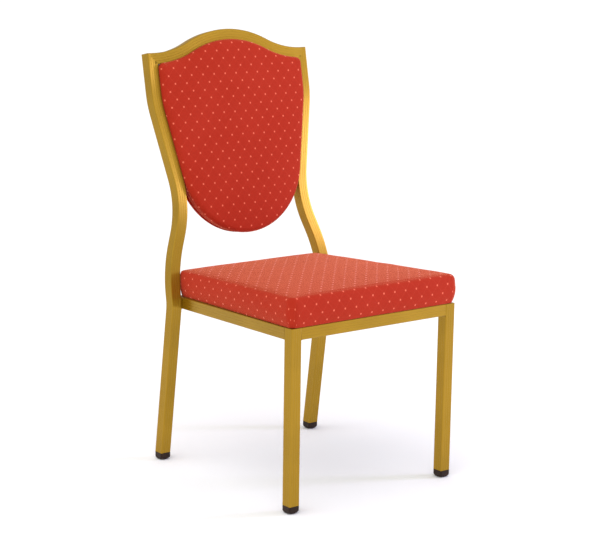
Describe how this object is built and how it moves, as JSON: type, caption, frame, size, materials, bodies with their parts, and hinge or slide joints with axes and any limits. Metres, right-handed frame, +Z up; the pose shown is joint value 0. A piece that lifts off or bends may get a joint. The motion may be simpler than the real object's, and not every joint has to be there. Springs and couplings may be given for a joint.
{
  "type": "stacking chair",
  "caption": "Armless banquet stacking chair: welded square-tube frame with upholstered box seat and a shield-shaped upholstered back under an arched top rail.",
  "frame": {"origin": "on the floor, under the middle of the whole chair's width and depth", "axes": "+Z up, -Y towards the front of the seat, +X to the right of someone looking at the front of the chair"},
  "size_m": [0.451, 0.5567, 0.9486],
  "materials": {
    "gold_frame": "satin gold powder coat",
    "plywood": "raw plywood",
    "foam": null,
    "red_cloth": "woven jacquard with small dots",
    "black_cloth": "non-woven dust cover cloth",
    "steel": "zinc plated",
    "brown_plastic": "moulded, fine matte grain"
  },
  "bodies": {
    "root": {"front_leg_left": "gold_frame", "front_leg_right": "gold_frame", "rear_upright_left": "gold_frame", "rear_upright_right": "gold_frame", "top_rail": "gold_frame", "front_rail": "gold_frame", "side_rail_left": "gold_frame", "side_rail_right": "gold_frame", "rear_rail": "gold_frame", "weld_beads": "gold_frame", "corner_plates": "gold_frame", "back_tabs": "gold_frame", "seat_board": "plywood", "seat_foam": "foam", "seat_cover": "red_cloth", "seat_dust_cover": "black_cloth", "seat_staples": "steel", "seat_tee_nuts": "steel", "seat_bolts": "steel", "seat_washers": "steel", "back_board": "plywood", "back_foam": "foam", "back_cover": "red_cloth", "rear_panel": "plywood", "rear_panel_cover": "red_cloth", "back_screws": "steel", "panel_clips": "steel", "glide_front_left": "brown_plastic", "glide_front_right": "brown_plastic", "glide_rear_left": "brown_plastic", "glide_rear_right": "brown_plastic"}
  },
  "joints": []
}
